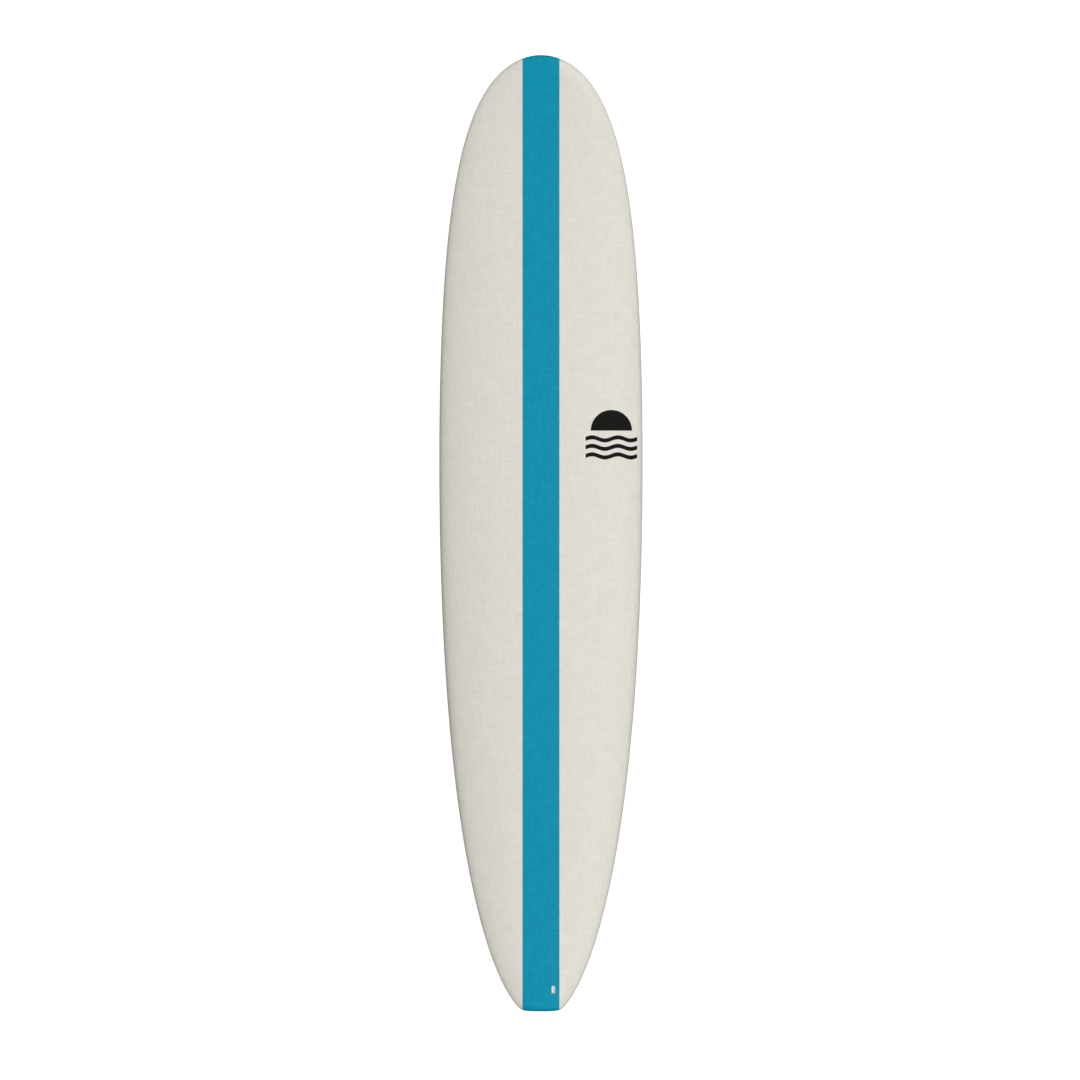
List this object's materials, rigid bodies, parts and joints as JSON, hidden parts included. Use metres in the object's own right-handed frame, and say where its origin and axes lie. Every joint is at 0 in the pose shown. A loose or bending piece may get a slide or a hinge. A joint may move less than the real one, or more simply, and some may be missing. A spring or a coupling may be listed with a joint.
{
  "type": "surfboard",
  "caption": "Longboard surfboard with a round nose, a small squared tail, a full-length deck stripe, a leash plug and removable fins in slotted boxes.",
  "frame": {"origin": "on the flat of the bottom, on the centreline, at half length", "axes": "+Y towards the nose, +X to the right with the deck up, +Z out of the deck"},
  "size_m": [0.584, 2.7435, 0.2455],
  "materials": {
    "white_laminate": "sanded gloss over fine glass cloth",
    "clear_laminate": "bare cured laminate",
    "foam": "closed-cell foam, shaped and sanded",
    "stringer_wood": "planed",
    "stripe_paint": "satin colour under gloss",
    "print_ink": "printed film",
    "white_plastic": "moulded",
    "stainless": "drawn",
    "resin_bed": "cured resin",
    "box_plastic": "moulded, sanded flush",
    "fin_plastic": "moulded, fine grain",
    "brass": "machined"
  },
  "bodies": {
    "board": {"deck_skin": "white_laminate", "bottom_skin": "white_laminate", "rail_lap_left": "clear_laminate", "rail_lap_right": "clear_laminate", "deck_patch": "clear_laminate", "foam_core_left": "foam", "foam_core_right": "foam", "stringer": "stringer_wood", "deck_stripe": "stripe_paint", "deck_decal": "print_ink", "leash_plug_cup": "white_plastic", "leash_plug_pin": "stainless", "leash_plug_bed": "resin_bed", "centre_fin_box": "box_plastic", "centre_fin_box_bed": "resin_bed", "side_fin_box_left": "box_plastic", "side_fin_box_right": "box_plastic", "side_fin_box_bed_left": "resin_bed", "side_fin_box_bed_right": "resin_bed"},
    "centre_fin": {"centre_fin": "fin_plastic", "centre_fin_cross_pin": "stainless"},
    "centre_screw": {"centre_fin_screw": "stainless"},
    "centre_plate": {"centre_fin_plate": "brass"},
    "side_fin_left": {"side_fin_left": "fin_plastic"},
    "side_fin_right": {"side_fin_right": "fin_plastic"},
    "side_screw_left": {"side_fin_screw_left": "stainless"},
    "side_screw_right": {"side_fin_screw_right": "stainless"}
  },
  "joints": [
    {"name": "centre_fin_slide", "type": "slide", "parent": "board", "child": "centre_fin", "axis": [0, 0.9949, -0.1009], "range_m": [-0.042, 0.028]},
    {"name": "centre_screw_turn", "type": "hinge", "parent": "centre_fin", "child": "centre_screw", "pos_m": [0, -1.04151, 0.05475], "axis": [0, -0.1009, -0.9949], "range_deg": [0, 722]},
    {"name": "centre_plate_lift", "type": "slide", "parent": "centre_fin", "child": "centre_plate", "axis": [0, 0.1009, 0.9949], "range_m": [0, 0.0014]},
    {"name": "side_fin_left_pull", "type": "slide", "parent": "board", "child": "side_fin_left", "axis": [-0.1045, -0.0967, -0.9898], "range_m": [0, 0.03]},
    {"name": "side_fin_right_pull", "type": "slide", "parent": "board", "child": "side_fin_right", "axis": [0.1045, -0.0967, -0.9898], "range_m": [0, 0.03]},
    {"name": "side_screw_left_turn", "type": "hinge", "parent": "board", "child": "side_screw_left", "pos_m": [-0.14768, -0.91728, 0.03793], "axis": [0.0247, 0.6317, -0.7748], "range_deg": [0, 1080]},
    {"name": "side_screw_right_turn", "type": "hinge", "parent": "board", "child": "side_screw_right", "pos_m": [0.14768, -0.91728, 0.03793], "axis": [-0.0247, 0.6317, -0.7748], "range_deg": [0, 1080]}
  ],
  "couplings": [
    {"joint": "centre_screw_turn", "follows": "centre_plate_lift", "rad_per_m": 8976}
  ]
}
